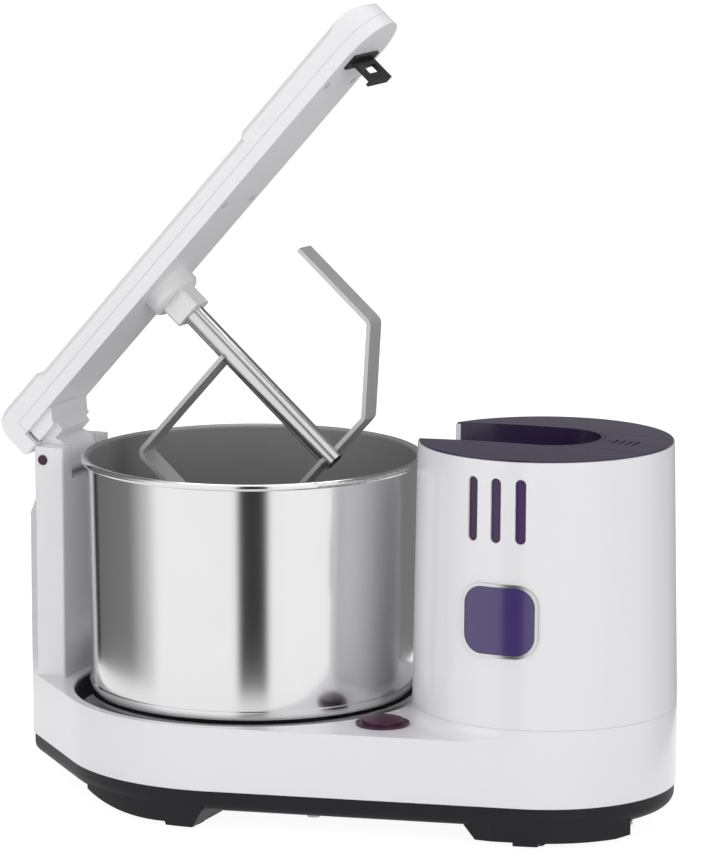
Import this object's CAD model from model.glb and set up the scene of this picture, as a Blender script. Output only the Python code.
# %% [markdown]
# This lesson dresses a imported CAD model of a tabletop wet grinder: a steel drum turned by a motor
# tower, and a white arm that lowers a dough kneader into the drum. The CAD model gives every solid
# and every joint. Blender adds what the eye reads as real: moulded plastic, polished and brushed
# steel, stone, rubber, soft edges and studio light. Everything is in metres, in the CAD's own frame.

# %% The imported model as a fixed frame
from math import pi

import bpy
import numpy as np
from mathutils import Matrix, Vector


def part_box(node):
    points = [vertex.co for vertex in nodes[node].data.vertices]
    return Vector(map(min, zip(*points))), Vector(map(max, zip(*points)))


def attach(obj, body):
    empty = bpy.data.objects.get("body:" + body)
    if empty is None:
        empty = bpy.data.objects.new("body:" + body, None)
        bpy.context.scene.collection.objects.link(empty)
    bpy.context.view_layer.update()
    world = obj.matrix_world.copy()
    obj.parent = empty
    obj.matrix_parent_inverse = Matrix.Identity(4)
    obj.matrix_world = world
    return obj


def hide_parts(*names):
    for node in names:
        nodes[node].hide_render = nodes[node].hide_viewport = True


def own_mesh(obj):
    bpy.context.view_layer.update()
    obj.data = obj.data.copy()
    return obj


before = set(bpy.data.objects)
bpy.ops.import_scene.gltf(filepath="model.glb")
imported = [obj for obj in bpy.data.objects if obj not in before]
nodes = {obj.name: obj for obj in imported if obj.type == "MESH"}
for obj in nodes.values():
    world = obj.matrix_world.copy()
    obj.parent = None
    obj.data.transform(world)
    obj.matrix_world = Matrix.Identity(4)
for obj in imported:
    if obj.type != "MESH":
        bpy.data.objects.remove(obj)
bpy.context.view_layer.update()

# %% [markdown]
# The dull inside of the drum, the camera and the round screen are all placed from the drum's axis. It
# is read from the box of the spindle, a round node that turns about that axis.

# %% The drum's axis
MM = 0.001


def middle(node):
    """Middle of a node's box: the mean of its lowest and highest corners."""
    low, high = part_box(node)
    return (low + high) / 2


drum_axis = middle("spindle")
print("drum's axis at x", round(drum_axis.x, 4), "and y", round(drum_axis.y, 4))

# %% [markdown]
# Every finish is made of shader nodes, and a node takes several lines to add and link. Four helpers
# shorten that: one makes an empty group, and the others add a noise texture, a Math node or a mix of
# two colours, and hand back its result.

# %% Helpers for shader nodes
noise_roughness = 0.55


def new_group(name, inputs, outputs):
    """An empty shader group with named sockets, given as (name, kind, default) and (name, kind)."""
    group = bpy.data.node_groups.new(name, "ShaderNodeTree")
    for label, kind, default in inputs:
        socket = group.interface.new_socket(label, in_out="INPUT", socket_type="NodeSocket" + kind)
        socket.default_value = default
    for label, kind in outputs:
        group.interface.new_socket(label, in_out="OUTPUT", socket_type="NodeSocket" + kind)
    return group, group.nodes.new("NodeGroupInput").outputs, group.nodes.new("NodeGroupOutput").inputs


def noise(tree, vector, scale, detail=3.0):
    """A noise texture whose vector and scale come from sockets."""
    node = tree.nodes.new("ShaderNodeTexNoise")
    node.inputs["Detail"].default_value = detail
    node.inputs["Roughness"].default_value = noise_roughness
    tree.links.new(vector, node.inputs["Vector"])
    tree.links.new(scale, node.inputs["Scale"])
    return node.outputs["Fac"]


def maths(tree, operation, first, second=None, third=None):
    """A Math node on numbers or sockets."""
    node = tree.nodes.new("ShaderNodeMath")
    node.operation = operation
    for socket, value in zip(node.inputs, (first, second, third)):
        if isinstance(value, (int, float)):
            socket.default_value = value
        elif value is not None:
            tree.links.new(value, socket)
    return node.outputs[0]


def mixed(tree, factor, first, second):
    """A colour mixed from two colours, by a factor socket."""
    node = tree.nodes.new("ShaderNodeMix")
    node.data_type = "RGBA"
    tree.links.new(factor, node.inputs["Factor"])
    for label, value in (("A", first), ("B", second)):
        socket = next(s for s in node.inputs if s.name == label and s.type == "RGBA")
        if isinstance(value, tuple):
            socket.default_value = value
        else:
            tree.links.new(value, socket)
    return next(s for s in node.outputs if s.type == "RGBA")


# %% [markdown]
# Most finishes share one effect: a moulded or machined surface is never perfectly even. Broad noise
# shifts the colour and the gloss a little, as handling and uneven cooling do, and fine noise tilts
# the normal, as the texture of a mould does. It is one node group with named inputs, built once, and
# each material places it with its own values.

# %% The node group for an uneven surface
noise_middle = 0.5
grain_scale = 900.0
grain_height = 0.1 * MM
uneven, given, result = new_group(
    "uneven_surface",
    [("Vector", "Vector", (0, 0, 0)), ("Colour", "Color", (0.8, 0.8, 0.8, 1)),
     ("Second colour", "Color", (0.7, 0.7, 0.7, 1)), ("Patch scale", "Float", 20.0),
     ("Roughness", "Float", 0.3), ("Roughness spread", "Float", 0.1),
     ("Grain scale", "Float", grain_scale), ("Grain depth", "Float", 0.1)],
    [("Colour", "Color"), ("Roughness", "Float"), ("Normal", "Vector")])
patches = noise(uneven, given["Vector"], given["Patch scale"])
grain = noise(uneven, given["Vector"], given["Grain scale"], detail=1.0)
uneven.links.new(mixed(uneven, patches, given["Colour"], given["Second colour"]), result["Colour"])
centred = maths(uneven, "SUBTRACT", patches, noise_middle)
uneven.links.new(maths(uneven, "MULTIPLY_ADD", centred, given["Roughness spread"],
                       given["Roughness"]), result["Roughness"])
grain_bump = uneven.nodes.new("ShaderNodeBump")
grain_bump.inputs["Distance"].default_value = grain_height
uneven.links.new(given["Grain depth"], grain_bump.inputs["Strength"])
uneven.links.new(grain, grain_bump.inputs["Height"])
uneven.links.new(grain_bump.outputs["Normal"], result["Normal"])
print("group:", uneven.name, len(uneven.nodes), "nodes")

# %% [markdown]
# A finish is a Principled shader fed by that group. Constant values such as the metal's share, the
# clear coat and the specular level sit on the shader's own sockets, because an exporter reads them
# there. The pattern reads Object coordinates, so it stays on the piece when a joint moves. Moulded
# plastic has no knife-sharp corners, so it can take the Bevel node instead of the grain: that rounds
# only the shading, and adds no faces.

# %% How a finish is made
coat_roughness = 0.08


def grey(level, tint=(1.0, 1.0, 1.0)):
    """A colour from one level and a tint."""
    return tuple(level * t for t in tint) + (1.0,)


def finish(name, colour, second, roughness, spread=0.08, metallic=0.0, coat=0.0, patch=18.0,
           grain_depth=0.05, stretch=(1, 1, 1), specular=0.5, soft_edge=0.0):
    """A material: Principled shader whose colour, roughness and normal come from the uneven group.
    A soft edge, given as a radius, rounds the shading of sharp corners instead of the grain."""
    material = bpy.data.materials.new(name)
    material.use_nodes = True
    tree = material.node_tree
    shader = tree.nodes["Principled BSDF"]
    shader.inputs["Metallic"].default_value = metallic
    shader.inputs["Coat Weight"].default_value = coat
    shader.inputs["Coat Roughness"].default_value = coat_roughness
    shader.inputs["Specular IOR Level"].default_value = specular
    place = tree.nodes.new("ShaderNodeTexCoord").outputs["Object"]
    mapping = tree.nodes.new("ShaderNodeMapping")
    mapping.inputs["Scale"].default_value = stretch
    tree.links.new(place, mapping.inputs["Vector"])
    group = tree.nodes.new("ShaderNodeGroup")
    group.node_tree = uneven
    tree.links.new(mapping.outputs["Vector"], group.inputs["Vector"])
    values = {"Colour": colour, "Second colour": second, "Patch scale": patch, "Roughness": roughness,
              "Roughness spread": spread, "Grain scale": grain_scale, "Grain depth": grain_depth}
    for label, value in values.items():
        group.inputs[label].default_value = value
    tree.links.new(group.outputs["Colour"], shader.inputs["Base Color"])
    tree.links.new(group.outputs["Roughness"], shader.inputs["Roughness"])
    if soft_edge:
        rounded = tree.nodes.new("ShaderNodeBevel")
        rounded.inputs["Radius"].default_value = soft_edge
        tree.links.new(rounded.outputs["Normal"], shader.inputs["Normal"])
    else:
        tree.links.new(group.outputs["Normal"], shader.inputs["Normal"])
    return material


# %% [markdown]
# The casings are glossy white plastic, a touch cooler than plain grey. The arm is a paler white with
# less shine, and the socket that holds the shaft is a milky one.

# %% White plastics
cool = (1.0, 1.0, 1.035)
white_gloss = finish("white_gloss", grey(0.78, cool), grey(0.77, cool), 0.27, spread=0.01, coat=0.3,
                     soft_edge=0.9 * MM)
arm_white = finish("arm_white", grey(0.82, cool), grey(0.81, cool), 0.38, spread=0.01, coat=0.1,
                   soft_edge=0.8 * MM)
milky = finish("milky_plastic", grey(0.80), grey(0.77), 0.38, spread=0.02, soft_edge=0.6 * MM)
print("white plastics:", white_gloss.name, arm_white.name, milky.name)

# %% [markdown]
# The dark mouldings are nearly black and differ in tint: navy below the base, plum for the cap, wine
# for the button and violet for the blank badge. A dark surface shows more of what it reflects than of
# its own colour, so most of them take a specular level below the shader's usual 0.5.

# %% Dark plastics and rubber
bluish = (1, 1, 1.3)
navy = finish("navy_black", grey(0.005, bluish), grey(0.009, bluish), 0.50, spread=0.15,
              specular=0.22)
plum = finish("plum_satin", (0.020, 0.008, 0.042, 1), (0.029, 0.013, 0.058, 1), 0.28, coat=0.2,
              specular=0.4)
wine = finish("wine_plum", (0.040, 0.006, 0.026, 1), (0.052, 0.009, 0.034, 1), 0.30, coat=0.2,
              specular=0.35)
violet = finish("violet_plate", (0.040, 0.022, 0.115, 1), (0.055, 0.030, 0.150, 1), 0.22, coat=0.4)
black_gloss = finish("black_gloss", grey(0.006), grey(0.010), 0.34, coat=0.08, specular=0.3)
rubber = finish("foot_rubber", grey(0.008), grey(0.014), 0.75, grain_depth=0.4, specular=0.25)
print("dark materials:", navy.name, plum.name, wine.name, violet.name, black_gloss.name, rubber.name)

# %% [markdown]
# Metal shows what stands around it, so its finish is mostly a grey level and a roughness: low for the
# drum and the shaft, higher for the blades and the castings. Satin steel also scatters light evenly,
# so the blades are only partly metallic. The stone is two greys in fine patches.

# %% Metals and stone
drum_steel = finish("drum_steel", grey(0.70), grey(0.67), 0.14, spread=0.04, metallic=1.0,
                    grain_depth=0.0)
polished = finish("polished_steel", grey(0.58), grey(0.55), 0.22, spread=0.02, metallic=1.0,
                  grain_depth=0.0)
satin = finish("satin_steel", grey(0.54), grey(0.51), 0.46, spread=0.04, metallic=0.55,
               grain_depth=0.0)
pale_steel = finish("pale_steel", grey(0.72), grey(0.66), 0.40, spread=0.06, metallic=0.6,
                    grain_depth=0.0)
dull_steel = finish("dull_steel", grey(0.40), grey(0.30), 0.42, spread=0.15, metallic=1.0)
cast = finish("cast_aluminium", grey(0.50), grey(0.42), 0.48, metallic=1.0, grain_depth=0.5)
copper = finish("copper_wire", (0.55, 0.24, 0.10, 1), (0.40, 0.15, 0.06, 1), 0.35, metallic=1.0,
                stretch=(1, 1, 8))
granite = finish("granite", grey(0.10), grey(0.34), 0.55, patch=420.0, grain_depth=0.5)
metals = (drum_steel, polished, satin, pale_steel, dull_steel, cast, copper)
print("metals:", [metal.name for metal in metals], "stone:", granite.name)

# %% [markdown]
# Each CAD node whose shape is right stays and takes its finish in its material slots. The table
# below names the finish of every node but the panel behind the vents, which gets its own later.

# %% Finishes of the CAD nodes
finishes = {
    white_gloss: ["base_shell", "motor_tower", "hinge_column"],
    arm_white: ["arm_shell", "arm_cover", "hinge_knuckle"],
    milky: ["shaft_socket"],
    navy: ["well_liner", "bottom_tray"],
    plum: ["top_cap", "lock_key"],
    wine: ["hinge_plugs", "power_button", "switch_bezel"],
    violet: ["badge_plate"],
    black_gloss: ["lock_hook", "striker", "power_switch", "capacitor", "power_inlet", "cooling_fan"],
    rubber: ["foot_pads", "drive_belt"],
    drum_steel: ["drum_body", "drum_pan"],
    polished: ["hinge_pin", "badge_rim", "stone_nut", "kneader_shaft"],
    satin: ["loop_blade", "wall_blade"],
    pale_steel: ["arm_screws"],
    dull_steel: ["tray_screws", "latch_spring", "button_spring", "spindle", "circlip",
                 "spindle_bearings", "motor_bearings", "stator_core", "rotor_core", "motor_shaft",
                 "motor_posts", "motor_tie_bolts"],
    cast: ["drum_hub", "drum_pulley", "bearing_housing", "motor_lower_bracket",
           "motor_upper_bracket", "motor_pulley"],
    copper: ["stator_windings"],
    granite: ["base_stone"],
}


def dress(name, material):
    """Put a material in every slot of a CAD node."""
    for held in nodes[name].material_slots:
        held.material = material


for material, names in finishes.items():
    for name in names:
        dress(name, material)
left = sorted(set(nodes) - {name for names in finishes.values() for name in names})
print("nodes that get their finish later:", left)

# %% [markdown]
# The drum is polished outside and ground dull inside. One material serves both sides: a face looks
# inwards when its normal points towards the drum's axis, and that mask changes the colour, the gloss
# and the metal's share, which an exporter can bake.

# %% The dull inside of the drum
dull_colour = grey(0.30)
dull_metallic = 0.3
extra_roughness = 0.36
# In metres, because the distance from the axis stays in the product
facing_limit = -0.05
level_only = (1, 1, 0)
tree = drum_steel.node_tree
drum_centre = nodes["drum_body"].matrix_world.inverted() @ drum_axis
place = tree.nodes.new("ShaderNodeTexCoord")
outward = tree.nodes.new("ShaderNodeVectorMath")
outward.operation = "SUBTRACT"
outward.inputs[1].default_value = drum_centre
tree.links.new(place.outputs["Object"], outward.inputs[0])
flattened = tree.nodes.new("ShaderNodeVectorMath")
flattened.operation = "MULTIPLY"
flattened.inputs[1].default_value = level_only
tree.links.new(outward.outputs["Vector"], flattened.inputs[0])
facing = tree.nodes.new("ShaderNodeVectorMath")
facing.operation = "DOT_PRODUCT"
tree.links.new(flattened.outputs["Vector"], facing.inputs[0])
tree.links.new(place.outputs["Normal"], facing.inputs[1])
inwards = maths(tree, "LESS_THAN", facing.outputs["Value"], facing_limit)
shader = tree.nodes["Principled BSDF"]
outside_colour = shader.inputs["Base Color"].links[0].from_socket
outside_roughness = shader.inputs["Roughness"].links[0].from_socket
tree.links.new(mixed(tree, inwards, outside_colour, dull_colour), shader.inputs["Base Color"])
tree.links.new(maths(tree, "MULTIPLY_ADD", inwards, extra_roughness, outside_roughness),
               shader.inputs["Roughness"])
tree.links.new(maths(tree, "MULTIPLY_ADD", inwards, dull_metallic - 1, 1.0), shader.inputs["Metallic"])
print("drum's centre in its material:", [round(c, 4) for c in drum_centre])

# %% [markdown]
# The panel behind the vents is a dark plum moulding that catches the light more towards the right.
# A ramp along X over the panel's own box gives it: nearly black at one side and violet at the other.

# %% The vents' panel
panel_dark = (0.010, 0.003, 0.016, 1)
panel_lit = (0.075, 0.030, 0.130, 1)
vent_plum = finish("vent_plum", panel_dark, panel_lit, 0.32, coat=0.12, specular=0.35)
tree = vent_plum.node_tree
shader = tree.nodes["Principled BSDF"]
panel_low, panel_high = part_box("vent_liner")
place = tree.nodes.new("ShaderNodeTexCoord").outputs["Object"]
split = tree.nodes.new("ShaderNodeSeparateXYZ")
tree.links.new(place, split.inputs["Vector"])
panel_share = tree.nodes.new("ShaderNodeMapRange")
panel_share.inputs["From Min"].default_value = panel_low.x
panel_share.inputs["From Max"].default_value = panel_high.x
tree.links.new(split.outputs["X"], panel_share.inputs["Value"])
tree.links.new(mixed(tree, panel_share.outputs["Result"], panel_dark, panel_lit),
               shader.inputs["Base Color"])
dress("vent_liner", vent_plum)
print("vents' panel from x", round(panel_low.x, 4), "to", round(panel_high.x, 4))

# %% [markdown]
# Two coil springs push the button and the lock's hook back. In the CAD model they are plain sleeves.
# Here each is a real coil: a wire carried along a helix, worked out as one grid. Each spring stands on
# its fixed end, and flattens towards it as its joint moves.

# %% How a coil spring is made
wire_radius = 0.45 * MM
points_per_turn = 24
points_round_wire = 10


def coil(name, foot, axis, across, length, radius, turns):
    """A coil spring. Its line is foot + axis * rise + radius * (cos t * across + sin t * third), and
    the wire's skin is that line plus a small circle in the plane of the outward way and the axis."""
    axis = np.array(axis, float)
    across = np.array(across, float)
    third = np.cross(axis, across)
    turn_angle = np.linspace(0, 2 * pi * turns, int(points_per_turn * turns) + 1)[:, None, None]
    wire_angle = np.linspace(0, 2 * pi, points_round_wire, endpoint=False)[None, :, None]
    outward = np.cos(turn_angle) * across + np.sin(turn_angle) * third
    rise = wire_radius + (length - 2 * wire_radius) * turn_angle / (2 * pi * turns)
    line = np.array(foot, float) + rise * axis + (radius - wire_radius) * outward
    skin = line + wire_radius * (np.cos(wire_angle) * outward + np.sin(wire_angle) * axis)
    rows, columns = skin.shape[:2]
    index = np.arange(rows * columns).reshape(rows, columns)
    after = np.roll(index, -1, axis=1)
    quads = np.stack([index[:-1], index[1:], after[1:], after[:-1]], axis=-1).reshape(-1, 4)
    ends = [index[0].tolist(), index[-1][::-1].tolist()]
    mesh = bpy.data.meshes.new(name)
    mesh.from_pydata(skin.reshape(-1, 3).tolist(), [], quads.tolist() + ends)
    mesh.validate()
    mesh.polygons.foreach_set("use_smooth", [True] * len(mesh.polygons))
    mesh.materials.append(dull_steel)
    piece = bpy.data.objects.new(name, mesh)
    bpy.context.scene.collection.objects.link(piece)
    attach(piece, "base")
    return piece


# %% [markdown]
# The button's spring stands upright and the hook's lies along X. Their lengths and radii come from
# the boxes of the sleeves that they replace.

# %% The two springs
button_turns = 5
latch_turns = 3
low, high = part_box("button_spring")
button_foot = ((low.x + high.x) / 2, (low.y + high.y) / 2, low.z)
button_coil = coil("button_coil", button_foot, (0, 0, 1), (1, 0, 0), high.z - low.z,
                   (high.x - low.x) / 2, button_turns)
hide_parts("button_spring")
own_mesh(button_coil)

low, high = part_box("latch_spring")
latch_foot = (high.x, (low.y + high.y) / 2, (low.z + high.z) / 2)
latch_coil = coil("latch_coil", latch_foot, (-1, 0, 0), (0, 0, 1), high.x - low.x,
                  (high.z - low.z) / 2, latch_turns)
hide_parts("latch_spring")
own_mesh(latch_coil)
print("coils:", len(button_coil.data.vertices), len(latch_coil.data.vertices), "points")

# %% [markdown]
# The photograph was taken from the front and a little above, with a long lens. A pinhole camera was
# fitted to the edges of the drum, the tower and the base. The lens follows from the focal length in
# pixels and the height of the image.

# %% Camera
image_height = 861
focal_pixels = 4693.346
sensor_height = 24
camera_right = 1249.5 * MM
camera_back = -2681.2 * MM
camera_height = 762.5 * MM
aim_right = 77.06 * MM
aim_height = 239.17 * MM
camera_data = bpy.data.cameras.new("camera")
camera = bpy.data.objects.new("camera", camera_data)
bpy.context.scene.collection.objects.link(camera)
bpy.context.scene.camera = camera
camera_data.sensor_fit = "VERTICAL"
camera_data.sensor_height = sensor_height
camera_data.lens = focal_pixels / image_height * sensor_height
aim = Vector((drum_axis.x + aim_right, 0, aim_height))
camera.location = Vector((drum_axis.x + camera_right, camera_back, camera_height))
camera.rotation_euler = (aim - camera.location).to_track_quat("-Z", "Y").to_euler()
print("lens", round(camera_data.lens, 2), "distance", round((aim - camera.location).length, 4))

# %% [markdown]
# The studio is plain: a pale floor, a white world, and large soft lamps. Floor and world look white
# to the camera and in reflections, but softly bounced light gets less of them, so that the colours
# of the pieces stay true. The Light Path node tells those rays apart.

# %% Rays that show the background


def shown(tree):
    """1 for a ray from the camera, off gloss or through glass, and 0 for softly bounced light."""
    rays = tree.nodes.new("ShaderNodeLightPath").outputs
    shiny = maths(tree, "MAXIMUM", rays["Is Glossy Ray"], rays["Is Transmission Ray"])
    return maths(tree, "MAXIMUM", rays["Is Camera Ray"], shiny)


# %% [markdown]
# The world is the white behind everything. Its strength has one part for all rays and one more for
# the rays that show it.

# %% World
world_light = 0.40
world_extra = 0.62
world = bpy.data.worlds.new("studio")
bpy.context.scene.world = world
world.use_nodes = True
tree = world.node_tree
background = tree.nodes["Background"]
background.inputs["Color"].default_value = grey(1.0)
tree.links.new(maths(tree, "MULTIPLY_ADD", shown(tree), world_extra, world_light),
               background.inputs["Strength"])
print("world:", world.name)

# %% [markdown]
# The floor is a wide pale sheet. To the rays that show it, most of it is a glow, so that it fades
# into the world, and the rest is matt paper, which still takes a soft shadow under the feet. To
# bounced light it is paper alone.

# %% Floor
far = 12.0
paper_level = 0.90
paper_roughness = 0.9
paper_glow = 1.25
glow_share = 0.75
floor_mesh = bpy.data.meshes.new("floor")
floor_corners = [(-far, -far, 0), (far, -far, 0), (far, far, 0), (-far, far, 0)]
floor_mesh.from_pydata(floor_corners, [], [(0, 1, 2, 3)])
floor = bpy.data.objects.new("floor", floor_mesh)
bpy.context.scene.collection.objects.link(floor)
paper = bpy.data.materials.new("pale_paper")
paper.use_nodes = True
tree = paper.node_tree
surface = tree.nodes["Principled BSDF"]
surface.inputs["Base Color"].default_value = grey(paper_level)
surface.inputs["Roughness"].default_value = paper_roughness
glow = tree.nodes.new("ShaderNodeEmission")
blend = tree.nodes.new("ShaderNodeMixShader")
glow.inputs["Strength"].default_value = paper_glow
tree.links.new(maths(tree, "MULTIPLY", shown(tree), glow_share), blend.inputs["Fac"])
tree.links.new(surface.outputs["BSDF"], blend.inputs[1])
tree.links.new(glow.outputs["Emission"], blend.inputs[2])
tree.links.new(blend.outputs["Shader"], tree.nodes["Material Output"].inputs["Surface"])
floor_mesh.materials.append(paper)
print("floor:", 2 * far, "m wide")

# %% [markdown]
# Polished steel shows what surrounds it, and in an empty studio it looks flat. So a round screen
# stands about the drum's axis. The camera and bounced light don't see it, and it casts no shadow.

# %% The round screen that steel reflects
screen_radius = 0.42
screen_foot = 0.001
screen_height = 0.8
sides = 96
angles = np.linspace(0, 2 * pi, sides, endpoint=False)
ring = np.column_stack([screen_radius * np.cos(angles), screen_radius * np.sin(angles)])
corners = [(x, y, z) for z in (screen_foot, screen_height) for x, y in ring.tolist()]
quads = [(i, (i + 1) % sides, sides + (i + 1) % sides, sides + i) for i in range(sides)]
screen_mesh = bpy.data.meshes.new("round_screen")
screen_mesh.from_pydata(corners, [], quads)
screen = bpy.data.objects.new("round_screen", screen_mesh)
screen.location.x = drum_axis.x
screen.visible_camera = False
screen.visible_diffuse = False
screen.visible_shadow = False
bpy.context.scene.collection.objects.link(screen)
print("screen:", len(quads), "faces")

# %% [markdown]
# The screen's light is a colour ramp round its axis: bright left and right of the camera, dark in a
# narrow band straight ahead, and grey everywhere else but for one thin dark line at the far left.
# That gives the drum its upright bands.

# %% The light on the round screen
screen_glow = 1.25


def way_round(degrees_round):
    """Place on the ramp, from 0 at -180 degrees to 1 at 180."""
    return (degrees_round + 180) / 360


screen_light = bpy.data.materials.new("screen_light")
screen_light.use_nodes = True
tree = screen_light.node_tree
tree.nodes.remove(tree.nodes["Principled BSDF"])
place = tree.nodes.new("ShaderNodeTexCoord").outputs["Object"]
split = tree.nodes.new("ShaderNodeSeparateXYZ")
tree.links.new(place, split.inputs["Vector"])
turn = maths(tree, "ARCTAN2", split.outputs["Y"], split.outputs["X"])
share = maths(tree, "MULTIPLY_ADD", turn, 1 / (2 * pi), 0.5)
ramp = tree.nodes.new("ShaderNodeValToRGB")
tree.links.new(share, ramp.inputs["Fac"])
# Degrees from +X towards +Y, and how bright the screen is there
zones = [(-180, 0.16), (-150, 0.20), (-134, 0.60), (-126, 0.95), (-76, 0.95), (-72, 0.03), (-58, 0.03),
         (-54, 0.95), (2, 0.95), (14, 0.22), (90, 0.16), (162, 0.16), (165, 0.02), (169, 0.02),
         (172, 0.16)]
stops = ramp.color_ramp.elements
stops[0].position = 0.0
stops[0].color = grey(zones[0][1])
stops[1].position = way_round(zones[-1][0])
stops[1].color = grey(zones[-1][1])
for degrees_round, level in zones[1:-1]:
    stops.new(way_round(degrees_round)).color = grey(level)
glow = tree.nodes.new("ShaderNodeEmission")
glow.inputs["Strength"].default_value = screen_glow
tree.links.new(ramp.outputs["Color"], glow.inputs["Color"])
tree.links.new(glow.outputs["Emission"], tree.nodes["Material Output"].inputs["Surface"])
screen_mesh.materials.append(screen_light)
print("stops on the ramp:", len(stops))

# %% [markdown]
# Four large soft lamps light the pieces from left, right, above and behind. A large lamp gives soft
# shadows and broad highlights, as a softbox does.

# %% Lamps
lamp_target = (0, 0, 0.2)


def lamp(name, place, target, width, height, watts):
    """A soft rectangular lamp that points at a target."""
    data = bpy.data.lights.new(name, "AREA")
    data.shape = "RECTANGLE"
    data.size = width
    data.size_y = height
    data.energy = watts
    thing = bpy.data.objects.new(name, data)
    thing.location = place
    thing.rotation_euler = (Vector(target) - Vector(place)).to_track_quat("-Z", "Y").to_euler()
    bpy.context.scene.collection.objects.link(thing)
    print("lamp:", name, watts, "W")


lamp("left_softbox", (-1.5, -2.3, 0.9), lamp_target, 1.5, 2.0, 22)
lamp("right_softbox", (2.3, -1.6, 0.9), lamp_target, 1.5, 2.0, 26)
lamp("top_softbox", (0.0, 0.3, 2.4), (0, 0, 0), 2.2, 2.2, 24)
lamp("back_softbox", (-1.0, 2.6, 1.1), lamp_target, 2.0, 2.0, 18)

# %% [markdown]
# Just before it, the boxes of the CAD model and of the dressed model are kept side by side, so
# that their sizes can be compared.

# %% Sizes kept, and the last check
bpy.context.scene.view_settings.view_transform = "Standard"
bpy.context.view_layer.update()
